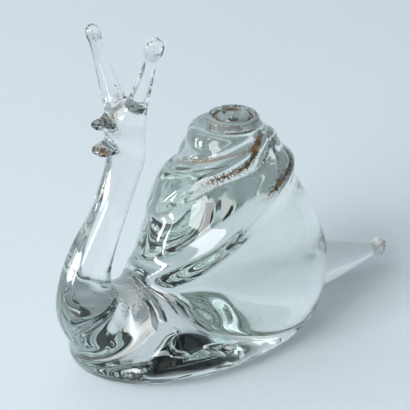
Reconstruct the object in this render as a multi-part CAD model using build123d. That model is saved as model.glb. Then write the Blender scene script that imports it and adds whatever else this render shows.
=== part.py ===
from build123d import *
import math
import os
from collections import namedtuple

# Solid clear glass snail. It stands on Z = 0 and faces -X, its left side is -Y,
# and the shell's upright axis passes through the origin. All lengths are in mm.

# Foot: an oval cushion with a flat underside, longer ahead of the shell than behind it
FOOT_HALF_LENGTH = 36.7
FOOT_HALF_WIDTH = 23.0
FOOT_LEAD = 10.0
FOOT_HEIGHT = 10.0
FOOT_EDGE = 4.0
SOLE_INSET = 4.5
FOOT_TOP_INSET = 5.0

# Shell
SHELL_HEIGHT = 57.5
SHELL_RADIUS = 28.5
SHELL_HALF_WIDTH = 24.0
WHORL_AZIMUTH = 142.0

# Far flank of the shell, pressed flat: which way it faces, how far out it lies from the shell's
# axis, how much it leans back, and how softly the round sides run into it
FLANK_AZIMUTH = 98.5
FLANK_OUT = 19.0
FLANK_LEAN = 6.0
FLANK_ROUND = 8.0

# Creases between the whorls, from the seat in the foot up. Each is a tilted ring with a low point
# on the WHORL_AZIMUTH side and a high point opposite: outward shares of SHELL_RADIUS and upward
# shares of the height from the seat to the shell's top. Then its half width as a share of
# SHELL_HALF_WIDTH, and how much higher its near side is than its middle, as a share of SHELL_HEIGHT.
CREASE_SHARES = (
    (0.840, 0.000, 0.660, 0.000, 0.800, 0.000),
    (0.954, 0.243, 0.537, 0.798, 0.958, 0.008),
    (0.709, 0.598, 0.354, 0.935, 0.646, 0.052),
    (0.454, 0.798, 0.295, 0.948, 0.458, 0.020),
    (0.347, 0.944, 0.263, 0.963, 0.367, 0.000),
    (0.326, 1.000, 0.256, 0.994, 0.330, 0.000),
)
# Swell of each whorl at rings between its creases: how far up the ring lies, and how much further
# out it reaches than a straight cone on the low side and on the high side.
SWELL_SHARES = {
    "body_whorl": (
        (0.08, 1.107, 1.230),
        (0.22, 1.154, 1.392),
        (0.46, 1.110, 1.453),
        (0.74, 1.041, 1.260),
    ),
    "second_whorl": ((0.35, 1.030, 1.060), (0.72, 1.035, 1.060)),
    "third_whorl": ((0.45, 1.180, 1.020), (0.84, 1.280, 1.020)),
    "upper_whorl": ((0.40, 1.110, 1.030), (0.78, 1.080, 1.030)),
    "collar": ((0.40, 1.060, 1.040), (0.78, 1.040, 1.030)),
}

# Thread of glass wound flat on the collar
COIL_DIAMETER = 13.8
COIL_THREAD_WIDTH = 2.05
COIL_THREAD_HEIGHT = 3.2
COIL_GAP = 0.5
COIL_HALF_TURNS = 4
COIL_SEAT_SHARE = 0.16
COIL_SHIFT = 1.2
COIL_SAMPLES = 240

# Neck: points of its axis as shares of the reach ahead of the shell's axis and of the height,
# with the radius along its bend and the half width across it as shares of the root's
NECK_REACH = 44.7
NECK_HEIGHT = 60.0
NECK_ROOT_RADIUS = 10.4
NECK_ROOT_HALF_WIDTH = 12.6
NECK_SHARES = (
    (0.436, 0.190, 1.000, 0.95),
    (0.626, 0.190, 0.990, 1.00),
    (0.810, 0.212, 0.960, 1.00),
    (0.946, 0.293, 0.840, 0.82),
    (1.000, 0.417, 0.640, 0.55),
    (0.962, 0.547, 0.520, 0.43),
    (0.879, 0.667, 0.445, 0.365),
    (0.796, 0.787, 0.405, 0.330),
    (0.734, 0.895, 0.410, 0.340),
    (0.705, 1.000, 0.445, 0.367),
)

# Head and lips
HEAD_HEIGHT = 10.6
HEAD_RADIUS = 5.1
HEAD_YAW = 8.0
HEAD_SHARES = ((0.35, 0.98), (0.70, 1.00), (0.92, 0.80), (1.00, 0.50))
LIP_REACH = 9.6
LIP_HALF_WIDTH = 3.4
LIP_HALF_THICKNESS = 1.3
UPPER_LIP_HEIGHT = 6.8
LOWER_LIP_HEIGHT = 1.4
UPPER_LIP_RISE = 0.8
LOWER_LIP_RISE = -0.4
LIP_SHARES = ((0.20, 0.85, 1.00), (0.60, 1.00, 1.00), (0.85, 0.90, 0.80), (1.00, 0.55, 0.40))

# Eye stalks: points as shares of the stalk's height and sideways splay, with radius shares
STALK_ROOT_RADIUS = 2.9
STALK_ROOT_SPLAY = 2.0
STALK_ROOT_SINK = 5.5
LEFT_STALK_HEIGHT = 15.2
LEFT_STALK_SPLAY = 9.6
RIGHT_STALK_HEIGHT = 13.8
RIGHT_STALK_SPLAY = 9.8
STALK_SHARES = ((0.00, 0.00, 1.00), (0.30, 0.26, 0.92), (0.60, 0.60, 0.68), (1.00, 1.00, 0.55))
LEFT_KNOB_RADIUS = 2.4
LEFT_KNOB_HALF_HEIGHT = 2.8
RIGHT_KNOB_RADIUS = 1.8
RIGHT_KNOB_HALF_HEIGHT = 2.3
KNOB_SEAT_SHARE = 0.55

# Tail and its sheared end: points as shares of the reach behind the shell's axis, of the height
# and of the bend to the left, with radius shares
TAIL_REACH = 50.5
TAIL_HEIGHT = 6.8
TAIL_BEND = 3.0
TAIL_ROOT_RADIUS = 6.6
TAIL_SHARES = (
    (0.38, 1.02, 0.00, 1.00),
    (0.56, 1.00, 0.15, 1.00),
    (0.72, 0.94, 0.50, 0.80),
    (0.87, 0.86, 0.80, 0.48),
    (1.00, 0.82, 1.00, 0.26),
)
TAIL_KNOB_RADIUS = 2.2
TAIL_KNOB_HALF_LENGTH = 2.6
TAIL_KNOB_CUTS = 5
TAIL_KNOB_CUT_SHARE = 0.80
TAIL_KNOB_CUT_LEAN = 25.0

UP = Vector(0, 0, 1)
SIDEWAYS = Vector(0, 1, 0)
FORWARD = Vector(-1, 0, 0)
OVAL_POINTS = 12

Ring = namedtuple("Ring", "low_out low_up high_out high_up half_width near_rise")


def oval_points(plane, half_x, half_y):
    """Points of an oval that always starts on the plane's x axis, so that lofts through it don't twist."""
    points = []
    for index in range(OVAL_POINTS):
        turn = 2 * math.pi * index / OVAL_POINTS
        points.append(plane.from_local_coords(Vector(half_x * math.cos(turn), half_y * math.sin(turn), 0)))
    return points


def oval_face(plane, half_x, half_y):
    """Oval face on a plane."""
    return make_face(Spline(*oval_points(plane, half_x, half_y), periodic=True))


def ring_plane(ring):
    """Plane of a tilted ring, from its low point, its high point and its near side."""
    low_side = Vector(1, 0, 0).rotate(Axis.Z, WHORL_AZIMUTH)
    near_side = low_side.rotate(Axis.Z, 90.0)
    along = low_side * (ring.low_out + ring.high_out) + UP * (ring.low_up - ring.high_up)
    across = near_side * ring.half_width + UP * ring.near_rise
    middle = (ring.low_up + ring.high_up) / 2
    centre = low_side * ((ring.low_out - ring.high_out) / 2) + UP * middle
    return Plane(origin=centre, x_dir=along, z_dir=along.cross(across))


def pressed(point, plane):
    """Point of a ring, moved in the ring's plane to the inner side of the flat flank."""
    lean = math.radians(FLANK_LEAN)
    way = Vector(1, 0, 0).rotate(Axis.Z, FLANK_AZIMUTH) * math.cos(lean) + UP * math.sin(lean)
    over = point.dot(way) - FLANK_OUT
    if over <= -FLANK_ROUND:
        return point
    depth = over if over >= FLANK_ROUND else (over + FLANK_ROUND) ** 2 / (4 * FLANK_ROUND)
    slide = way - plane.z_dir * way.dot(plane.z_dir)
    return point - slide * (depth / slide.dot(slide))


def ring_face(ring):
    """Oval face of a tilted ring, pressed flat on the far flank."""
    plane = ring_plane(ring)
    half_length = math.hypot(ring.low_out + ring.high_out, ring.high_up - ring.low_up) / 2
    points = [pressed(point, plane) for point in oval_points(plane, half_length, ring.half_width)]
    return make_face(Spline(*points, periodic=True))


def swollen_ring(lower, upper, up_share, low_share, high_share):
    """Ring part of the way from one ring to another, swollen outwards."""
    mixed = Ring(*(low + (high - low) * up_share for low, high in zip(lower, upper)))
    return mixed._replace(
        low_out=mixed.low_out * low_share,
        high_out=mixed.high_out * high_share,
        half_width=mixed.half_width * (low_share + high_share) / 2,
    )


def crease_rings():
    """Rings where the whorls meet, from the seat in the foot up."""
    rings = []
    whorl_height = SHELL_HEIGHT - FOOT_EDGE
    for low_out, low_up, high_out, high_up, width, rise in CREASE_SHARES:
        rings.append(
            Ring(
                low_out * SHELL_RADIUS,
                FOOT_EDGE + low_up * whorl_height,
                high_out * SHELL_RADIUS,
                FOOT_EDGE + high_up * whorl_height,
                width * SHELL_HALF_WIDTH,
                rise * SHELL_HEIGHT,
            )
        )
    return rings


def make_whorls(creases):
    """Bulging whorls, each lofted from one crease to the next."""
    whorls = {}
    for (name, swells), lower, upper in zip(SWELL_SHARES.items(), creases, creases[1:]):
        middle = [swollen_ring(lower, upper, *swell) for swell in swells]
        whorls[name] = loft([ring_face(ring) for ring in (lower, *middle, upper)])
    return whorls


def make_foot():
    """Oval cushion with a flat underside and rounded sides."""
    faces = []
    for height, inset in ((0, SOLE_INSET), (FOOT_EDGE, 0), (FOOT_HEIGHT, FOOT_TOP_INSET)):
        plane = Plane(origin=(-FOOT_LEAD, 0, height))
        faces.append(oval_face(plane, FOOT_HALF_LENGTH - inset, FOOT_HALF_WIDTH - inset))
    return loft(faces)


def bar_planes(points):
    """Planes square to a line of points."""
    planes = []
    last = len(points) - 1
    for index, point in enumerate(points):
        ahead = points[min(index + 1, last)] - points[max(index - 1, 0)]
        planes.append(Plane(origin=point, x_dir=SIDEWAYS, z_dir=ahead))
    return planes


def make_neck_faces():
    """Oval faces along the neck's axis, from inside the shell to the head."""
    points = []
    for out, up, _, _ in NECK_SHARES:
        points.append(FORWARD * (out * NECK_REACH) + UP * (up * NECK_HEIGHT))
    faces = []
    for plane, (_, _, radius, width) in zip(bar_planes(points), NECK_SHARES):
        faces.append(oval_face(plane, width * NECK_ROOT_HALF_WIDTH, radius * NECK_ROOT_RADIUS))
    return points[-1], faces


def make_head(base, base_face):
    """Swollen end of the neck with a rounded top."""
    faces = [base_face]
    for up, radius in HEAD_SHARES:
        plane = Plane(origin=base + UP * (up * HEAD_HEIGHT), x_dir=SIDEWAYS, z_dir=UP)
        faces.append(oval_face(plane, radius * HEAD_RADIUS, radius * HEAD_RADIUS))
    return loft(faces)


def make_lip(base, height, rise):
    """Flat pinched tab that starts inside the head and points ahead."""
    ahead = FORWARD.rotate(Axis.Z, HEAD_YAW)
    across = SIDEWAYS.rotate(Axis.Z, HEAD_YAW)
    faces = []
    for out, width, thickness in LIP_SHARES:
        centre = base + ahead * (out * LIP_REACH) + UP * (height + rise * out)
        plane = Plane(origin=centre, x_dir=across, z_dir=ahead)
        faces.append(oval_face(plane, width * LIP_HALF_WIDTH, thickness * LIP_HALF_THICKNESS))
    return loft(faces)


def make_stalk(base, side, height, splay):
    """Drawn eye stalk that leans to one side, with its end point and end direction."""
    across = SIDEWAYS.rotate(Axis.Z, HEAD_YAW) * side
    root = base + UP * (HEAD_HEIGHT - STALK_ROOT_SINK) + across * STALK_ROOT_SPLAY
    points = []
    for up, out, _ in STALK_SHARES:
        rise = UP * (up * (height + STALK_ROOT_SINK))
        points.append(root + rise + across * (out * (splay - STALK_ROOT_SPLAY)))
    faces = []
    for plane, (_, _, radius) in zip(bar_planes(points), STALK_SHARES):
        faces.append(oval_face(plane, radius * STALK_ROOT_RADIUS, radius * STALK_ROOT_RADIUS))
    return loft(faces), points[-1], points[-1] - points[-2]


def make_bead(seat, direction, radius, half_height):
    """Egg-shaped bead on the end of a drawn bar."""
    half = split(Ellipse(radius, half_height), bisect_by=Plane.YZ, keep=Keep.TOP)
    bead = revolve(Plane.XZ * half, axis=Axis.Z)
    return Plane(origin=seat, z_dir=direction) * Pos(0, 0, KNOB_SEAT_SHARE * half_height) * bead


def make_tail():
    """Drawn tail with its end point and end direction."""
    points = []
    for out, up, bend, _ in TAIL_SHARES:
        side = SIDEWAYS * (-bend * TAIL_BEND)
        points.append(FORWARD * (-out * TAIL_REACH) + UP * (up * TAIL_HEIGHT) + side)
    faces = []
    for plane, (_, _, _, radius) in zip(bar_planes(points), TAIL_SHARES):
        faces.append(oval_face(plane, radius * TAIL_ROOT_RADIUS, radius * TAIL_ROOT_RADIUS))
    return loft(faces), points[-1], points[-1] - points[-2]


def make_tail_knob(seat, direction):
    """Bead with flat chips where the tail was sheared off."""
    knob = make_bead(seat, direction, TAIL_KNOB_RADIUS, TAIL_KNOB_HALF_LENGTH)
    frame = Plane(origin=seat, z_dir=direction)
    centre = frame.from_local_coords(Vector(0, 0, KNOB_SEAT_SHARE * TAIL_KNOB_HALF_LENGTH))
    for cut in range(TAIL_KNOB_CUTS):
        turn = math.radians(360.0 * cut / TAIL_KNOB_CUTS)
        lean = math.radians(TAIL_KNOB_CUT_LEAN * (1 + cut % 2))
        spoke = Vector(math.cos(turn), math.sin(turn), 0) * math.cos(lean) + UP * math.sin(lean)
        outward = frame.from_local_coords(spoke) - frame.origin
        chip = Plane(origin=centre + outward * (TAIL_KNOB_CUT_SHARE * TAIL_KNOB_RADIUS), z_dir=outward)
        knob = split(knob, bisect_by=chip, keep=Keep.BOTTOM)
    return knob


def coil_path():
    """Flat spiral of half circles, from its outer end inwards."""
    half_pitch = (COIL_THREAD_WIDTH + COIL_GAP) / 2
    radius = (COIL_DIAMETER - COIL_THREAD_WIDTH) / 2
    centre = 0.0
    side = 1
    edges = []
    for _ in range(COIL_HALF_TURNS):
        edges.append(CenterArc((centre, 0, 0), radius, 90.0 - 90.0 * side, 180.0))
        centre -= side * half_pitch
        radius -= half_pitch
        side = -side
    return Wire(edges)


def coil_gap():
    """Least gap between the thread's turns, measured on points along its path."""
    path = coil_path()
    points = [path @ (index / COIL_SAMPLES) for index in range(COIL_SAMPLES + 1)]
    apart = math.ceil(2 * COIL_THREAD_WIDTH * COIL_SAMPLES / path.length)
    least = COIL_DIAMETER
    for index, point in enumerate(points):
        for other in points[index + apart:]:
            least = min(least, (other - point).length)
    return least - COIL_THREAD_WIDTH


def make_coil(seat):
    """Thread wound flat in one unbroken spiral, cut flat where it lies on the collar."""
    path = coil_path()
    section = Ellipse(COIL_THREAD_WIDTH / 2, COIL_THREAD_HEIGHT / 2)
    start = Plane(origin=path @ 0, x_dir=(1, 0, 0), z_dir=path % 0)
    half = split(section, bisect_by=Plane.YZ, keep=Keep.TOP)
    cap = revolve(Plane.XZ * half, axis=Axis.Z)
    thread = sweep(start * section, path=path) + Pos(path @ 0) * cap + Pos(path @ 1) * cap
    floor = (COIL_SEAT_SHARE - 0.5) * COIL_THREAD_HEIGHT
    thread = split(thread, bisect_by=Plane.XY.offset(floor), keep=Keep.TOP)
    return seat * Pos(-COIL_SHIFT, 0, -floor) * thread


def main():
    creases = crease_rings()
    whorls = make_whorls(creases)
    shell = whorls["body_whorl"]
    foot = make_foot() - shell
    nodes = {"foot": foot, **whorls, "apex_coil": make_coil(ring_plane(creases[-1]))}

    head_base, neck_faces = make_neck_faces()
    neck = loft(neck_faces)
    head = make_head(head_base, neck_faces[-1])
    nodes["neck"] = neck - shell - whorls["second_whorl"] - foot
    nodes["head"] = head
    nodes["upper_lip"] = make_lip(head_base, UPPER_LIP_HEIGHT, UPPER_LIP_RISE) - head - neck
    nodes["lower_lip"] = make_lip(head_base, LOWER_LIP_HEIGHT, LOWER_LIP_RISE) - head - neck

    left, left_end, left_way = make_stalk(head_base, -1, LEFT_STALK_HEIGHT, LEFT_STALK_SPLAY)
    right, right_end, right_way = make_stalk(head_base, 1, RIGHT_STALK_HEIGHT, RIGHT_STALK_SPLAY)
    nodes["left_tentacle"] = left - head
    nodes["right_tentacle"] = right - head - left
    left_bead = make_bead(left_end, left_way, LEFT_KNOB_RADIUS, LEFT_KNOB_HALF_HEIGHT)
    right_bead = make_bead(right_end, right_way, RIGHT_KNOB_RADIUS, RIGHT_KNOB_HALF_HEIGHT)
    nodes["left_eye_knob"] = left_bead - left
    nodes["right_eye_knob"] = right_bead - right

    tail, tail_end, tail_way = make_tail()
    nodes["tail"] = tail - shell - foot
    nodes["tail_knob"] = make_tail_knob(tail_end, tail_way) - tail

    os.makedirs("parts", exist_ok=True)
    for name, shape in nodes.items():
        export_step(shape, f"parts/{name}.step")
        print(name, len(shape.solids()), round(shape.volume, 1))
    print("least gap in the coil", round(coil_gap(), 3))


main()
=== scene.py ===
import math

import bpy
import numpy as np
import openvdb
from mathutils import Matrix, Vector


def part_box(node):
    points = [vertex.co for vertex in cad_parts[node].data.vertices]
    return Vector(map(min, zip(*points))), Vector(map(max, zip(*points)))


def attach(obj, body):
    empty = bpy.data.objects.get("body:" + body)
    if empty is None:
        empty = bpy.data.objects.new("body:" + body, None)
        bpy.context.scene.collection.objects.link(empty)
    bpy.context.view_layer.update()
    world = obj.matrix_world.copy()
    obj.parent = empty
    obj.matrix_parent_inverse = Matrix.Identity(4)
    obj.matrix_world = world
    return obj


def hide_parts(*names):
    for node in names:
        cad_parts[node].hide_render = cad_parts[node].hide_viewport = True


# Solid clear glass snail on pale paper. Lengths are in metres, in the frame of the CAD model:
# it stands on Z = 0, faces -X, and its left side is -Y.

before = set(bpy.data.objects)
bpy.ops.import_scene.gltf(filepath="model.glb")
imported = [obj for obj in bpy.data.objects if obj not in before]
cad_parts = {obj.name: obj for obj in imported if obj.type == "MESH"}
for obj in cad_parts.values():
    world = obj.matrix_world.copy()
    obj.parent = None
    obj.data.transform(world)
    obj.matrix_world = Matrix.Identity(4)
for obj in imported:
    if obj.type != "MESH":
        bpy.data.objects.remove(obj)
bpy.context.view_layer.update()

MM = 0.001

# Camera of the photograph
CAMERA_EYE = Vector((-214.7, -264.8, 211.4)) * MM
CAMERA_TARGET = Vector((3.73, 14.74, 26.73)) * MM
CAMERA_SENSOR_MM = 36.0
CAMERA_LENS_MM = 131.7
CAMERA_CLIP_START = 10.0 * MM

# Grid for the glass skin
SKIN_VOXEL = 0.47 * MM
SKIN_MARGIN = 5.0 * MM
BAND_VOXELS = 12
SKIN_BLUR = 0.45 * MM
SKIN_OVERLAP = 0.05 * MM

# Making of a mesh from a distance field: how many blur sigmas count, the passes that move points on
# to the surface, which of them even the points out first, and the passes that smooth the normals
BLUR_REACH_SIGMAS = 3
SETTLE_PASSES = 3
EVENING_PASSES = (True, True, False, False)
NORMAL_PASSES = 4
LEAST_SLOPE_SQUARED = 0.05
TINY = 1e-9

# The fused pieces in groups, in the order they are joined, with the width over which each flows
# into the rest of its group. The groups are joined over the widths below.
SHELL_JOINTS = {
    "body_whorl": 0.3 * MM,
    "second_whorl": 5.0 * MM,
    "third_whorl": 5.0 * MM,
    "upper_whorl": 2.0 * MM,
    "collar": 3.0 * MM,
}
BASE_JOINTS = {
    "foot": 0.3 * MM,
    "neck": 7.0 * MM,
    "tail": 4.0 * MM,
}
HEAD_JOINTS = {
    "head": 0.3 * MM,
    "left_tentacle": 2.2 * MM,
    "right_tentacle": 2.2 * MM,
    "upper_lip": 1.5 * MM,
    "lower_lip": 1.5 * MM,
    "left_eye_knob": 1.2 * MM,
    "right_eye_knob": 1.0 * MM,
}
GROUP_JOINTS = ((SHELL_JOINTS, 0.3 * MM), (BASE_JOINTS, 3.0 * MM), (HEAD_JOINTS, 0.4 * MM))
SKIN_NODES = [name for joints, _ in GROUP_JOINTS for name in joints]

# Gentle waviness of hand-worked glass
WAVE_SEED = 7
WAVE_COUNT = 28
WAVE_LENGTHS = (9.0 * MM, 30.0 * MM)
WAVE_HEIGHT = 0.010 * MM
WAVE_CLEAR_OF_FLOOR = 4.0 * MM

# Folds pressed into the glass: name, half width, then places in mm with the depth there and the
# share of grit that lies in the fold. A negative depth is a ridge.
FOLDS = (
    ("drum_foot", 0.55 * MM, (
        (1.5, -9.3, 55.3, 0.15, 0.3), (-2.1, -11.3, 54.4, 0.15, 0.6), (-6.6, -9.6, 53.2, 0.20, 0.7),
        (-10.7, -5.3, 51.7, 0.25, 0.9), (-12.5, -1.6, 50.8, 0.25, 0.8), (-11.8, 5.8, 48.1, 0.20, 0.5))),
    ("upper_fold", 0.60 * MM, (
        (2.9, -7.9, 55.8, 0.30, 0.9), (-0.1, -11.0, 54.9, 0.35, 1.0), (-4.9, -12.9, 51.8, 0.35, 1.0),
        (-11.1, -11.3, 49.8, 0.30, 0.9), (-14.4, -9.2, 48.3, 0.20, 0.7), (-16.5, -7.2, 46.9, 0.05, 0.2))),
    ("middle_fold", 0.60 * MM, (
        (5.1, -7.7, 55.6, 0.30, 0.3), (3.2, -11.5, 53.5, 0.40, 0.6), (-0.7, -13.9, 50.9, 0.45, 0.7),
        (-4.1, -14.2, 49.9, 0.45, 0.5), (-8.8, -13.1, 49.0, 0.40, 0.3), (-13.2, -10.9, 47.6, 0.30, 0.4),
        (-17.5, -7.7, 43.8, 0.15, 0.4), (-20.3, -5.7, 39.5, 0.02, 0.0))),
    ("lower_fold", 0.60 * MM, (
        (6.4, -6.9, 55.5, 0.30, 0.4), (5.5, -10.9, 53.0, 0.40, 0.9), (4.8, -13.6, 49.7, 0.40, 0.7),
        (3.2, -15.5, 47.6, 0.30, 0.4), (0.4, -17.4, 45.7, 0.10, 0.2))),
    ("outer_fold", 0.70 * MM, (
        (8.7, -9.3, 51.9, 0.20, 0.3), (10.9, -9.5, 49.4, 0.40, 0.6), (9.2, -12.8, 47.7, 0.50, 0.9),
        (4.0, -16.2, 46.6, 0.50, 0.9), (-2.2, -18.1, 44.3, 0.40, 0.6), (-7.0, -18.7, 41.7, 0.25, 0.0),
        (-11.9, -18.6, 37.8, 0.15, 0.0), (-15.4, -17.7, 34.4, 0.05, 0.0))),
    ("neck_flat", 1.3 * MM, (
        (-36.7, -1.4, 55.0, 0.10, 0.0), (-39.0, -0.7, 49.4, 0.20, 0.0), (-41.8, -0.7, 44.2, 0.20, 0.0),
        (-45.1, -1.0, 39.5, 0.20, 0.0), (-50.2, -1.6, 29.2, 0.20, 0.0), (-51.4, -1.7, 24.1, 0.0, 0.0))),
    ("neck_edge", 1.1 * MM, (
        (-36.4, -3.2, 52.3, -0.20, 0.0), (-38.5, -2.8, 48.0, -0.25, 0.0), (-41.6, -2.9, 42.6, -0.25, 0.0),
        (-45.0, -3.3, 37.7, -0.25, 0.0), (-49.5, -3.0, 29.6, -0.25, 0.0), (-51.0, -3.5, 24.5, 0.0, 0.0))),
    ("stalk_fork", 0.6 * MM, (
        (-33.0, -1.9, 72.0, 0.10, 0.4), (-34.2, -1.8, 71.0, 0.10, 0.2), (-36.7, -2.1, 68.8, 0.10, 0.1))),
    ("lip_top", 0.8 * MM, (
        (-40.0, -0.7, 62.0, 0.10, 0.8), (-39.8, -2.5, 61.9, 0.15, 1.0), (-39.0, -3.5, 61.7, 0.10, 0.6))),
    ("near_curl", 0.8 * MM, (
        (-32.1, -10.5, 86.1, 0.30, 0.1), (-31.9, -11.2, 87.8, 0.55, 0.2), (-31.0, -11.7, 88.6, 0.60, 0.3),
        (-30.0, -12.1, 87.9, 0.60, 0.3), (-29.9, -11.9, 86.5, 0.60, 0.4), (-30.9, -11.7, 86.1, 0.50, 0.4))),
    ("far_curl", 0.6 * MM, (
        (-34.4, 9.3, 85.9, 0.25, 0.4), (-34.0, 8.6, 85.3, 0.35, 0.6), (-33.5, 8.3, 84.8, 0.35, 0.6),
        (-32.5, 8.4, 85.5, 0.30, 0.5), (-31.8, 9.0, 86.1, 0.20, 0.3))),
    ("stalk_grit", 0.8 * MM, (
        (-31.9, 3.2, 74.7, 0.03, 0.3), (-32.1, 2.2, 73.1, 0.05, 0.4), (-32.4, 1.1, 71.8, 0.08, 0.6),
        (-33.8, -0.4, 70.9, 0.10, 0.6), (-35.3, -1.0, 70.0, 0.08, 0.5), (-36.6, -1.2, 68.9, 0.05, 0.4))),
    ("brow", 0.8 * MM, (
        (-38.2, -0.6, 68.7, 0.05, 0.3), (-37.2, -2.0, 68.6, 0.08, 0.3), (-36.0, -2.7, 68.7, 0.05, 0.2))),
    ("lip_notch", 1.0 * MM, (
        (-39.4, -2.6, 68.3, 0.30, 0.2), (-40.8, -2.8, 67.6, 0.80, 0.1), (-40.4, -2.8, 66.4, 0.60, 0.0))),
    ("lip_lobe", 1.0 * MM, (
        (-38.6, -4.0, 67.2, -0.60, 0.0), (-38.4, -4.4, 65.8, -0.90, 0.1), (-38.0, -4.4, 64.8, -0.50, 0.1))),
)
FOLD_STEP = 0.25 * MM
FOLD_STEPS_PER_WIDTH = 3
FOLD_REACH_WIDTHS = 2.6
GRIT_SHARE_OF_WIDTH = 1.6

# Uneven underside
SOLE_LENGTHS = (5.0 * MM, 14.0 * MM)
SOLE_HEIGHT = 0.14 * MM
SOLE_DEPTH = 3.0 * MM

# Frosted smear where the neck leaves the foot
FROST_PLACE = (-36.0 * MM, -4.2 * MM, 22.4 * MM)
FROST_RADIUS = 6.0 * MM
FROST_PEAK = 0.9

# Thread wound flat on the top: an outer turn and an inner scroll with two eyes, on a low seat
COIL_VOXEL = 0.16 * MM
COIL_MARGIN_VOXELS = 4
COIL_BLUR_VOXELS = 0.8
COIL_CENTRE = Vector((0.05, -1.2, 57.3)) * MM
COIL_TURN = math.radians(-38)
COIL_RADIUS = 5.75 * MM
THREAD_HALF_WIDTH = 0.95 * MM
THREAD_HALF_HEIGHT = 1.6 * MM
THREAD_UP = 1.0 * MM
EYE_OUT = 2.15 * MM
EYE_RADIUS = 1.15 * MM
RING_ARC = (0, 2 * math.pi)
LEFT_EYE_ARC = (-1.5 * math.pi, 0.0)
RIGHT_EYE_ARC = (math.pi, -0.5 * math.pi)
HOOK_ARC = (-0.9 * math.pi, 0.35 * math.pi)
SCROLL_UP = 1.35 * MM
SEAT_RADIUS = 6.0 * MM
SEAT_TOP = 1.5 * MM
SEAT_SINK = 0.35 * MM
COIL_BLEND = 0.25 * MM
COIL_GROOVE = 0.70 * MM
COIL_GRIT = 1.0

# Sheared end of the tail
KNOB_VOXEL = 0.14 * MM
KNOB_MARGIN_VOXELS = 6
KNOB_BLUR_VOXELS = 1.2
KNOB_GROWTH = 0.10 * MM
KNOB_LUMPS = (0.9 * MM, 2.2 * MM)
KNOB_LUMP_HEIGHT = 0.05 * MM

# Paper floor, just below the snail so that the two faces don't coincide
FLOOR_DROP = 0.2 * MM
FLOOR_HALF_SIDE = 1.5

# Clear glass, with a faint grey-green tint by depth
GLASS_IOR = 1.5
GLASS_BARE_COLOUR = (1, 1, 1, 1)
GLASS_TINT = (0.60, 0.82, 0.72, 1)
GLASS_TINT_DENSITY = 5.0

# Whole range of a share, and the range that most of a noise lies in
SHARE_RANGE = (0.0, 1.0)
NOISE_RANGE = (0.3, 0.7)

# Brown grit in the folds: waves per metre, how far the grains move the stored grit, where the sum
# turns from bare to covered, and the look of the grains
GRIT_SCALE = 2800.0
GRIT_DETAIL = 3.0
GRIT_GRAINS = (-0.5, 0.5)
GRIT_EDGE = (0.52, 0.70)
GRIT_ROUGHNESS = 0.7
GRIT_TONE_SCALE = 900.0
GRIT_TONE_DETAIL = 2.0
GRIT_TONE_RANGE = (0.35, 0.65)
GRIT_COLOURS = ((0.030, 0.018, 0.008, 1), (0.24, 0.15, 0.06, 1))

# Frost, made in the same way but in upright streaks, and how far it hides what is behind it
FROST_SCALE = 1600.0
FROST_DETAIL = 4.0
FROST_STRETCH = (1.0, 1.0, 0.2)
FROST_STREAKS = (-0.45, 0.45)
FROST_EDGE = (0.47, 0.67)
FROST_ROUGHNESS = 0.5
FROST_COVER = 0.85
FROST_COLOUR = (0.90, 0.96, 0.95, 1)

# Cracked glass: tone and roughness by the distance from a crack, as a share of a cell
CRACK_SCALE = 900.0
CRACK_TONE_RANGE = (0.0, 0.06)
CRACK_COLOURS = ((0.75, 0.78, 0.78, 1), (0.97, 0.98, 0.98, 1))
CRACK_ROUGH_RANGE = (0.0, 0.12)
CRACK_ROUGHNESS = (0.5, 0.2)
CRACK_TRANSMISSION = 0.1

# Paper with a faint fibre
PAPER_SCALE = 500.0
PAPER_DETAIL = 4.0
PAPER_COLOURS = ((0.73, 0.81, 0.865, 1), (0.75, 0.83, 0.885, 1))
PAPER_ROUGHNESS = 0.9
PAPER_SPECULAR = 0.1

# Room: its pale side, where dark turns to pale along that way, and the two levels
ROOM_PALE_WAY = (-0.2, 0.8, -0.4)
ROOM_RAMP = (-0.3, 0.3)
ROOM_LEVELS = (0.015, 0.70)
ROOM_TINT = (0.82, 0.93, 1.0, 1)

# Window panels: name, turn and rise of the top and of the bottom as seen from the snail, width
# seen, all in degrees, and radiance
WINDOW_DISTANCE = 2.0
WINDOWS = (
    ("window", (159.0, 16.0), (153.0, -1.0), 12.0, 16.0),
    ("window_edge", (142.0, 16.0), (138.0, -1.0), 4.0, 16.0),
    ("front_window", (190.0, 44.0), (190.0, 16.0), 30.0, 9.0),
)
SNAIL_MIDDLE = (0, 0, 30.0 * MM)

# Soft panel overhead, that faces the origin
OVERHEAD_PLACE = (-0.25, 0.35, 1.35)
OVERHEAD_SIDES = (2.6, 2.6)
OVERHEAD_RADIANCE = 0.62

# Light bounces that solid clear glass needs
MAX_BOUNCES = 32
TRANSMISSION_BOUNCES = 24
GLOSSY_BOUNCES = 12
TRANSPARENT_BOUNCES = 24


class Grid:
    """Box of voxels around two corners."""

    def __init__(self, low, high, voxel, margin):
        self.voxel = voxel
        self.start = np.floor((np.array(low) - margin) / voxel).astype(int)
        self.shape = tuple(np.ceil((np.array(high) + margin) / voxel).astype(int) - self.start + 1)
        self.corner = tuple(int(v) for v in self.start)
        self.transform = openvdb.createLinearTransform(voxelSize=voxel)

    def axes(self):
        """Places of the voxels along X, Y and Z."""
        return [(self.start[k] + np.arange(self.shape[k])) * self.voxel for k in range(3)]

    def places(self, points):
        """Points counted in voxels from the first voxel."""
        return points / self.voxel - self.start

    def slope(self, field):
        """Gradient of a field at every voxel."""
        return np.stack(np.gradient(field, self.voxel), axis=-1)


def node_mesh(name):
    """Points and triangles of a CAD node."""
    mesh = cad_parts[name].data
    mesh.calc_loop_triangles()
    points = np.empty(len(mesh.vertices) * 3, np.float32)
    mesh.vertices.foreach_get("co", points)
    triangles = np.empty(len(mesh.loop_triangles) * 3, np.int32)
    mesh.loop_triangles.foreach_get("vertices", triangles)
    return points.reshape(-1, 3), triangles.reshape(-1, 3)


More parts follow.
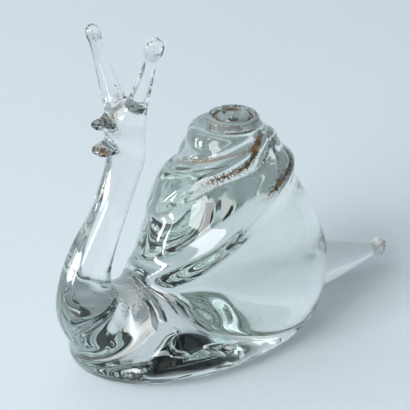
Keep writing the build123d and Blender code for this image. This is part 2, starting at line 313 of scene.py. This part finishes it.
def node_field(name, grid):
    """Distance to a CAD node's surface, negative inside, on a grid."""
    points, triangles = node_mesh(name)
    level = openvdb.FloatGrid.createLevelSetFromPolygons(
        points, triangles=triangles, transform=grid.transform, halfWidth=BAND_VOXELS
    )
    field = np.empty(grid.shape, np.float32)
    level.copyToArray(field, ijk=grid.corner)
    return field


def joined(field, other, width):
    """Smooth union of two distance fields."""
    near = np.maximum(width - np.abs(field - other), 0) / width
    return np.minimum(field, other) - near * near * (width / 4)


def fused(parts):
    """Fields joined in order, each over its width."""
    total = None
    for field, width in parts:
        total = field if total is None else joined(total, field, np.float32(width))
    return total


def blurred(field, sigma):
    """Gaussian blur of a field, sigma in voxels."""
    reach = int(math.ceil(BLUR_REACH_SIGMAS * sigma))
    taps = np.exp(-0.5 * (np.arange(-reach, reach + 1) / sigma) ** 2)
    taps /= taps.sum()
    for axis in range(3):
        width = [(0, 0)] * 3
        width[axis] = (reach, reach)
        padded = np.pad(field, width, mode="edge")
        length = field.shape[axis]
        field = sum(
            tap * np.take(padded, range(index, index + length), axis=axis)
            for index, tap in enumerate(taps.astype(np.float32))
        )
    return field


def waves(grid, lengths):
    """Smooth waviness over a grid, made of plane waves."""
    random = np.random.RandomState(WAVE_SEED)
    x, y, z = grid.axes()
    total = np.zeros(grid.shape, np.float32)
    for _ in range(WAVE_COUNT):
        way = random.normal(size=3)
        way *= 2 * math.pi / (np.linalg.norm(way) * random.uniform(*lengths))
        phase = random.uniform(0, 2 * math.pi)
        along = np.exp(1j * (way[0] * x + phase))[:, None, None]
        across = np.exp(1j * way[1] * y)[None, :, None]
        up = np.exp(1j * way[2] * z)[None, None, :]
        plane = (along * across).astype(np.complex64)
        total += (plane * up.astype(np.complex64)).real
    return total


def fade_at_floor(grid):
    """Rises from 0 at the floor to 1."""
    rise = np.clip(grid.axes()[2] / WAVE_CLEAR_OF_FLOOR, 0, 1)
    return (rise * rise * (3 - 2 * rise)).astype(np.float32)


def sampled(field, places):
    """Field values between voxels."""
    base = np.clip(np.floor(places).astype(int), 0, np.array(field.shape[:3]) - 2)
    part = places - base
    total = 0
    for corner in range(8):
        step = np.array([corner & 1, corner >> 1 & 1, corner >> 2])
        weight = np.prod(np.where(step, part, 1 - part), axis=1)
        spot = base + step
        value = field[spot[:, 0], spot[:, 1], spot[:, 2]]
        total = total + (value.T * weight).T
    return total


def spline(rows):
    """Smooth curve through table rows, every column alike."""
    rows = np.array(rows, float)
    padded = np.concatenate([2 * rows[:1] - rows[1:2], rows, 2 * rows[-1:] - rows[-2:-1]])
    pieces = []
    for before, start, end, after in zip(padded, padded[1:], padded[2:], padded[3:]):
        count = max(int(np.linalg.norm(end[:3] - start[:3]) / FOLD_STEP), 2)
        t = np.linspace(0, 1, count, endpoint=False)[:, None]
        bend = 2 * before - 5 * start + 4 * end - after
        twist = 3 * (start - end) + after - before
        pieces.append(start + t * ((end - before) + t * (bend + t * twist)) / 2)
    return np.concatenate(pieces + [rows[-1:]])


def nearer(points, field, slope, grid):
    """Points moved one step straight towards the zero surface of a field."""
    places = grid.places(points)
    way = sampled(slope, places)
    size = np.maximum((way * way).sum(axis=1), LEAST_SLOPE_SQUARED)
    return points - (sampled(field, places) / size)[:, None] * way


def settled(points, field, slope, grid):
    """Points moved on to the zero surface of a field."""
    for _ in range(SETTLE_PASSES):
        points = nearer(points, field, slope, grid)
    return points


def press(target, grid, points, strengths, width):
    """Adds a soft trough along a curve to a field of the grid."""
    reach = int(math.ceil(FOLD_REACH_WIDTHS * width / grid.voxel))
    steps = np.arange(-reach, reach + 1)
    near = np.stack(np.meshgrid(steps, steps, steps, indexing="ij"), axis=-1)
    best = np.zeros(grid.shape, np.float32)
    skip = max(int(width / FOLD_STEP / FOLD_STEPS_PER_WIDTH), 1)
    for point, strength in zip(points[::skip], strengths[::skip]):
        place = grid.places(point)
        base = np.round(place).astype(int)
        low = np.maximum(base - reach, 0)
        high = np.minimum(base + reach + 1, grid.shape)
        part = tuple(slice(a, b) for a, b in zip(low - base + reach, high - base + reach))
        apart = ((near[part] - (place - base)) ** 2).sum(axis=-1) * (grid.voxel / width) ** 2
        value = strength * np.exp(-apart)
        block = best[tuple(slice(a, b) for a, b in zip(low, high))]
        np.copyto(block, value, where=np.abs(value) > np.abs(block), casting="same_kind")
    target += best


def press_folds(field, grid):
    """Presses every fold into a field and gives the grit that lies in them."""
    slope = grid.slope(field)
    curves = [spline(np.array(rows) * (MM, MM, MM, MM, 1)) for _, _, rows in FOLDS]
    troughs = np.zeros(grid.shape, np.float32)
    for curve, (_, width, _) in zip(curves, FOLDS):
        curve[:, :3] = settled(curve[:, :3], field, slope, grid)
        press(troughs, grid, curve[:, :3], curve[:, 3], width)
    field += troughs
    slope = grid.slope(field)
    grit = np.zeros(grid.shape, np.float32)
    for curve, (_, width, _) in zip(curves, FOLDS):
        points = settled(curve[:, :3], field, slope, grid)
        press(grit, grid, points, np.maximum(curve[:, 4], 0), width * GRIT_SHARE_OF_WIDTH)
    return grit


def neighbour_mean(values, pairs, count):
    """Mean over the neighbours of each vertex."""
    total = np.zeros_like(values)
    for column in range(values.shape[1]):
        total[:, column] += np.bincount(pairs[:, 0], values[pairs[:, 1], column], len(values))
        total[:, column] += np.bincount(pairs[:, 1], values[pairs[:, 0], column], len(values))
    return total / count[:, None]


def meshed(field, grid):
    """Quads on a field's zero surface, evened out, with smooth normals."""
    level = openvdb.FloatGrid(float(field.max()))
    level.copyFromArray(field, ijk=grid.corner)
    level.transform = grid.transform
    points, quads = level.convertToQuads(0.0)
    slope = grid.slope(field)
    points = points.astype(float)
    pairs = np.concatenate([quads[:, [k, (k + 1) % 4]] for k in range(4)])
    count = np.bincount(pairs.ravel(), minlength=len(points))
    for evening in EVENING_PASSES:
        if evening:
            points = neighbour_mean(points, pairs, count)
        points = nearer(points, field, slope, grid)
    way = sampled(slope, grid.places(points))
    for _ in range(NORMAL_PASSES):
        way = (way + neighbour_mean(way, pairs, count)) / 2
    normals = way / np.maximum(np.linalg.norm(way, axis=1), TINY)[:, None]
    return points, quads, normals


def add_mesh(name, points, faces, normals=None):
    """New smooth mesh object."""
    mesh = bpy.data.meshes.new(name)
    mesh.from_pydata(points.tolist(), [], faces.tolist())
    mesh.shade_smooth()
    if normals is not None:
        mesh.normals_split_custom_set_from_vertices(normals.tolist())
    piece = bpy.data.objects.new(name, mesh)
    bpy.context.scene.collection.objects.link(piece)
    return piece


def group_field(joints, grid):
    """Field of the nodes of one group."""
    overlap = np.float32(SKIN_OVERLAP)
    return fused((node_field(name, grid) - overlap, width) for name, width in joints.items())


def make_skin():
    """One continuous skin of glass over the fused pieces."""
    low = np.min([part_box(name)[0] for name in SKIN_NODES], axis=0)
    high = np.max([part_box(name)[1] for name in SKIN_NODES], axis=0)
    grid = Grid(low, high, SKIN_VOXEL, SKIN_MARGIN)
    field = fused((group_field(joints, grid), width) for joints, width in GROUP_JOINTS)
    field = blurred(field, SKIN_BLUR / SKIN_VOXEL)
    field += waves(grid, WAVE_LENGTHS) * fade_at_floor(grid) * np.float32(WAVE_HEIGHT)
    grit = press_folds(field, grid)
    hollows = np.maximum(waves(grid, SOLE_LENGTHS), 0) * np.float32(SOLE_HEIGHT)
    field += hollows * np.clip(1 - grid.axes()[2] / SOLE_DEPTH, 0, 1).astype(np.float32)
    points, quads, normals = meshed(field, grid)
    resting = points[:, 2] < 0
    points[resting, 2] = 0
    normals[resting] = (0, 0, -1)
    skin = add_mesh("glass_snail", points, quads, normals)
    store(skin, "grit", sampled(grit, grid.places(points)))
    apart = np.linalg.norm(points - np.array(FROST_PLACE), axis=1) / FROST_RADIUS
    store(skin, "frost", FROST_PEAK * np.exp(-apart * apart))
    dress(skin, "clear_glass", *SKIN_NODES)
    return skin


def store(piece, name, values):
    """Keeps one number per vertex for the material."""
    layer = piece.data.attributes.new(name, "FLOAT", "POINT")
    layer.data.foreach_set("value", values.astype(np.float32))


def dress(piece, slot, *names):
    """Puts a piece in the place of CAD nodes."""
    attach(piece, "root")
    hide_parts(*names)


def arc(centre, radius, start, end):
    """Points round part of a circle in the plan."""
    count = max(int(abs(end - start) * radius / COIL_VOXEL), 2)
    angle = np.linspace(start, end, count)
    return np.stack([centre + radius * np.cos(angle), radius * np.sin(angle)], axis=1)


def thread_field(path, up, plan, height):
    """Field of an oval thread along a path in the plan."""
    reach = np.full(plan.shape[:2], np.inf)
    for place in path:
        reach = np.minimum(reach, ((plan - place) ** 2).sum(axis=-1))
    flat = np.sqrt(reach)[..., None] / THREAD_HALF_WIDTH
    return (np.hypot(flat, (height - up) / THREAD_HALF_HEIGHT) - 1) * THREAD_HALF_WIDTH


def coil_fields(grid):
    """Fields of the coil's outer turn, inner scroll and seat."""
    x, y, height = grid.axes()
    plan = np.stack(np.meshgrid(x, y, indexing="ij"), axis=-1)
    ring = arc(0, COIL_RADIUS, *RING_ARC)
    left_eye = arc(-EYE_OUT, EYE_RADIUS, *LEFT_EYE_ARC)
    right_eye = arc(EYE_OUT, EYE_RADIUS, *RIGHT_EYE_ARC)
    hook = arc(0, EYE_OUT + EYE_RADIUS, *HOOK_ARC)
    scroll = np.concatenate([left_eye, right_eye, hook])
    outer = thread_field(ring, THREAD_UP, plan, height)
    inner = thread_field(scroll, SCROLL_UP, plan, height)
    out = np.linalg.norm(plan, axis=-1)[..., None] - SEAT_RADIUS
    return outer, inner, np.maximum(out, height - SEAT_TOP)


def make_coil():
    """The thread of glass wound on the top."""
    reach = SEAT_RADIUS + THREAD_HALF_WIDTH
    low = (-reach, -reach, -SEAT_SINK)
    high = (reach, reach, SCROLL_UP + THREAD_HALF_HEIGHT)
    grid = Grid(low, high, COIL_VOXEL, COIL_MARGIN_VOXELS * COIL_VOXEL)
    outer, inner, seat = coil_fields(grid)
    field = joined(joined(seat, outer, COIL_BLEND), inner, COIL_BLEND)
    field = np.maximum(field, -SEAT_SINK - grid.axes()[2])
    field = blurred(field.astype(np.float32), COIL_BLUR_VOXELS)
    points, quads, normals = meshed(field, grid)
    between = np.minimum(outer, seat) - np.minimum(inner, seat)
    grooves = np.exp(-(between / COIL_GROOVE) ** 2) * (seat > 0)
    grit = sampled(grooves.astype(np.float32), grid.places(points))
    cos, sin = math.cos(COIL_TURN), math.sin(COIL_TURN)
    turn = np.array([[cos, sin, 0], [-sin, cos, 0], [0, 0, 1]])
    coil = add_mesh("glass_coil", points @ turn + np.array(COIL_CENTRE), quads, normals @ turn)
    store(coil, "grit", grit * COIL_GRIT)
    dress(coil, "clear_glass", "apex_coil")
    return coil


def make_tail_knob():
    """The lumpy sheared end of the tail."""
    grid = Grid(*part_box("tail_knob"), KNOB_VOXEL, KNOB_MARGIN_VOXELS * KNOB_VOXEL)
    field = blurred(node_field("tail_knob", grid) - np.float32(KNOB_GROWTH), KNOB_BLUR_VOXELS)
    field = field + waves(grid, KNOB_LUMPS) * np.float32(KNOB_LUMP_HEIGHT)
    points, quads, normals = meshed(field, grid)
    knob = add_mesh("crackled_knob", points, quads, normals)
    dress(knob, "crackled_glass", "tail_knob")
    return knob


def new_material(name):
    """Material with a principled shader only, given with its tree and that shader."""
    material = bpy.data.materials.new(name)
    material.use_nodes = True
    tree = material.node_tree
    tree.nodes.clear()
    return material, tree, tree.nodes.new("ShaderNodeBsdfPrincipled")


def add_output(tree, shader, volume=None):
    """Makes a shader, and a volume if there is one, the look of a material."""
    output = tree.nodes.new("ShaderNodeOutputMaterial")
    tree.links.new(shader.outputs["BSDF"], output.inputs["Surface"])
    if volume is not None:
        tree.links.new(volume.outputs["Volume"], output.inputs["Volume"])


def noise(tree, scale, detail, stretch=(1, 1, 1)):
    """Noise over the object, stretched along its axes."""
    coordinates = tree.nodes.new("ShaderNodeTexCoord")
    mapping = tree.nodes.new("ShaderNodeMapping")
    mapping.inputs["Scale"].default_value = stretch
    texture = tree.nodes.new("ShaderNodeTexNoise")
    texture.inputs["Scale"].default_value = scale
    texture.inputs["Detail"].default_value = detail
    tree.links.new(coordinates.outputs["Object"], mapping.inputs["Vector"])
    tree.links.new(mapping.outputs["Vector"], texture.inputs["Vector"])
    return texture.outputs["Fac"]


def mapped(tree, value, old_range, new_range):
    """Value moved from one range to another, held at the ends."""
    node = tree.nodes.new("ShaderNodeMapRange")
    node.inputs["From Min"].default_value, node.inputs["From Max"].default_value = old_range
    node.inputs["To Min"].default_value, node.inputs["To Max"].default_value = new_range
    tree.links.new(value, node.inputs["Value"])
    return node.outputs["Result"]


def scaled(tree, share, most):
    """Share times a number."""
    return mapped(tree, share, SHARE_RANGE, (0.0, most))


def ramp(tree, value, value_range, colours):
    """Two colours by a value."""
    node = tree.nodes.new("ShaderNodeValToRGB")
    for element, place, colour in zip(node.color_ramp.elements, value_range, colours):
        element.position = place
        element.color = colour
    tree.links.new(value, node.inputs["Fac"])
    return node.outputs["Color"]


def combined(tree, operation, first, second):
    """Two values put together by a named operation."""
    node = tree.nodes.new("ShaderNodeMath")
    node.operation = operation
    tree.links.new(first, node.inputs[0])
    tree.links.new(second, node.inputs[1])
    return node.outputs["Value"]


def mixed_colours(tree, share, first, second):
    """A colour turning into another by a share."""
    node = tree.nodes.new("ShaderNodeMix")
    node.data_type = "RGBA"
    tree.links.new(share, node.inputs["Factor"])
    tree.links.new(first, node.inputs["A"])
    tree.links.new(second, node.inputs["B"])
    return node.outputs["Result"]


def stored(tree, name):
    """Number kept with each vertex."""
    node = tree.nodes.new("ShaderNodeAttribute")
    node.attribute_name = name
    return node.outputs["Fac"]


def grit_share(tree):
    """Grains of grit along the folds."""
    grains = mapped(tree, noise(tree, GRIT_SCALE, GRIT_DETAIL), NOISE_RANGE, GRIT_GRAINS)
    total = combined(tree, "ADD", stored(tree, "grit"), grains)
    return mapped(tree, total, GRIT_EDGE, SHARE_RANGE)


def frost_share(tree):
    """Streaky frost round the foot of the neck."""
    streaks = noise(tree, FROST_SCALE, FROST_DETAIL, FROST_STRETCH)
    streaks = mapped(tree, streaks, NOISE_RANGE, FROST_STREAKS)
    total = combined(tree, "ADD", stored(tree, "frost"), streaks)
    return mapped(tree, total, FROST_EDGE, SHARE_RANGE)


def glass_material():
    """Clear glass with grit in its folds and a smear of frost."""
    material, tree, shader = new_material("clear_glass")
    shader.inputs["IOR"].default_value = GLASS_IOR
    grit = grit_share(tree)
    frost = frost_share(tree)
    tone = ramp(tree, noise(tree, GRIT_TONE_SCALE, GRIT_TONE_DETAIL), GRIT_TONE_RANGE, GRIT_COLOURS)
    bare = ramp(tree, frost, SHARE_RANGE, (GLASS_BARE_COLOUR, FROST_COLOUR))
    tree.links.new(mixed_colours(tree, grit, bare, tone), shader.inputs["Base Color"])
    dull = scaled(tree, grit, GRIT_ROUGHNESS)
    rough = scaled(tree, frost, FROST_ROUGHNESS)
    tree.links.new(combined(tree, "MAXIMUM", dull, rough), shader.inputs["Roughness"])
    cover = combined(tree, "MAXIMUM", grit, scaled(tree, frost, FROST_COVER))
    clear = mapped(tree, cover, SHARE_RANGE, SHARE_RANGE[::-1])
    tree.links.new(clear, shader.inputs["Transmission Weight"])
    tint = tree.nodes.new("ShaderNodeVolumeAbsorption")
    tint.inputs["Color"].default_value = GLASS_TINT
    tint.inputs["Density"].default_value = GLASS_TINT_DENSITY
    add_output(tree, shader, tint)
    return material


def crackled_material():
    """White glass full of cracks."""
    material, tree, shader = new_material("crackled_glass")
    coordinates = tree.nodes.new("ShaderNodeTexCoord")
    cracks = tree.nodes.new("ShaderNodeTexVoronoi")
    cracks.feature = "DISTANCE_TO_EDGE"
    cracks.inputs["Scale"].default_value = CRACK_SCALE
    tree.links.new(coordinates.outputs["Object"], cracks.inputs["Vector"])
    distance = cracks.outputs["Distance"]
    tone = ramp(tree, distance, CRACK_TONE_RANGE, CRACK_COLOURS)
    tree.links.new(tone, shader.inputs["Base Color"])
    rough = mapped(tree, distance, CRACK_ROUGH_RANGE, CRACK_ROUGHNESS)
    tree.links.new(rough, shader.inputs["Roughness"])
    shader.inputs["IOR"].default_value = GLASS_IOR
    shader.inputs["Transmission Weight"].default_value = CRACK_TRANSMISSION
    add_output(tree, shader)
    return material


def paper_material():
    """Pale matt paper."""
    material, tree, shader = new_material("paper")
    fibre = noise(tree, PAPER_SCALE, PAPER_DETAIL)
    tree.links.new(ramp(tree, fibre, NOISE_RANGE, PAPER_COLOURS), shader.inputs["Base Color"])
    shader.inputs["Roughness"].default_value = PAPER_ROUGHNESS
    shader.inputs["Specular IOR Level"].default_value = PAPER_SPECULAR
    add_output(tree, shader)
    return material


def make_floor():
    """The sheet of paper that the snail stands on."""
    side = FLOOR_HALF_SIDE
    corners = np.array([(-side, -side, -FLOOR_DROP), (side, -side, -FLOOR_DROP),
                        (side, side, -FLOOR_DROP), (-side, side, -FLOOR_DROP)])
    floor = add_mesh("floor", corners, np.array([[0, 1, 2, 3]]))
    floor.data.materials.append(paper_material())


def add_area(name, place, target, up, width, height, radiance):
    """Light panel that faces a target, with its height along a given way."""
    lamp = bpy.data.lights.new(name, "AREA")
    lamp.shape = "RECTANGLE"
    lamp.size = width
    lamp.size_y = height
    lamp.energy = radiance * math.pi * width * height
    light = bpy.data.objects.new(name, lamp)
    back = (Vector(place) - Vector(target)).normalized()
    side = Vector(up).cross(back).normalized()
    light.matrix_world = Matrix((side, back.cross(side), back)).transposed().to_4x4()
    light.location = place
    bpy.context.scene.collection.objects.link(light)
    return light


def way_to(turn, rise):
    """Unit way at a turn and a rise in degrees."""
    turn, rise = math.radians(turn), math.radians(rise)
    return Vector((math.cos(turn) * math.cos(rise), math.sin(turn) * math.cos(rise), math.sin(rise)))


def make_lights():
    """Window panels on the left that show as reflections, and a soft panel overhead."""
    target = Vector(SNAIL_MIDDLE)
    for name, top, bottom, width, radiance in WINDOWS:
        high, low = way_to(*top) * WINDOW_DISTANCE, way_to(*bottom) * WINDOW_DISTANCE
        place = target + (high + low) / 2
        across = math.radians(width) * WINDOW_DISTANCE
        light = add_area(name, place, target, high - low, across, (high - low).length, radiance)
        light.visible_transmission = False
    add_area("overhead", OVERHEAD_PLACE, (0, 0, 0), (0, 1, 0), *OVERHEAD_SIDES, OVERHEAD_RADIANCE)


def make_world():
    """Room light: pale near the horizon behind the snail, dark elsewhere."""
    world = bpy.data.worlds.new("studio")
    world.use_nodes = True
    tree = world.node_tree
    coordinates = tree.nodes.new("ShaderNodeTexCoord")
    dot = tree.nodes.new("ShaderNodeVectorMath")
    dot.operation = "DOT_PRODUCT"
    dot.inputs[1].default_value = ROOM_PALE_WAY
    tree.links.new(coordinates.outputs["Generated"], dot.inputs[0])
    level = mapped(tree, dot.outputs["Value"], ROOM_RAMP, ROOM_LEVELS)
    level.node.interpolation_type = "SMOOTHSTEP"
    background = tree.nodes["Background"]
    background.inputs["Color"].default_value = ROOM_TINT
    tree.links.new(level, background.inputs["Strength"])
    bpy.context.scene.world = world


def make_camera():
    """The photograph's camera."""
    data = bpy.data.cameras.new("camera")
    data.sensor_width = CAMERA_SENSOR_MM
    data.lens = CAMERA_LENS_MM
    data.clip_start = CAMERA_CLIP_START
    camera = bpy.data.objects.new("camera", data)
    camera.location = CAMERA_EYE
    camera.rotation_mode = "QUATERNION"
    camera.rotation_quaternion = (CAMERA_TARGET - CAMERA_EYE).to_track_quat("-Z", "Y")
    bpy.context.scene.collection.objects.link(camera)
    bpy.context.scene.camera = camera


make_camera()
skin = make_skin()
glass = glass_material()
skin.data.materials.append(glass)
make_coil().data.materials.append(glass)
make_tail_knob().data.materials.append(crackled_material())
make_floor()
make_world()
make_lights()

scene = bpy.context.scene
scene.view_settings.view_transform = "Standard"
scene.cycles.max_bounces = MAX_BOUNCES
scene.cycles.transmission_bounces = TRANSMISSION_BOUNCES
scene.cycles.glossy_bounces = GLOSSY_BOUNCES
scene.cycles.transparent_max_bounces = TRANSPARENT_BOUNCES
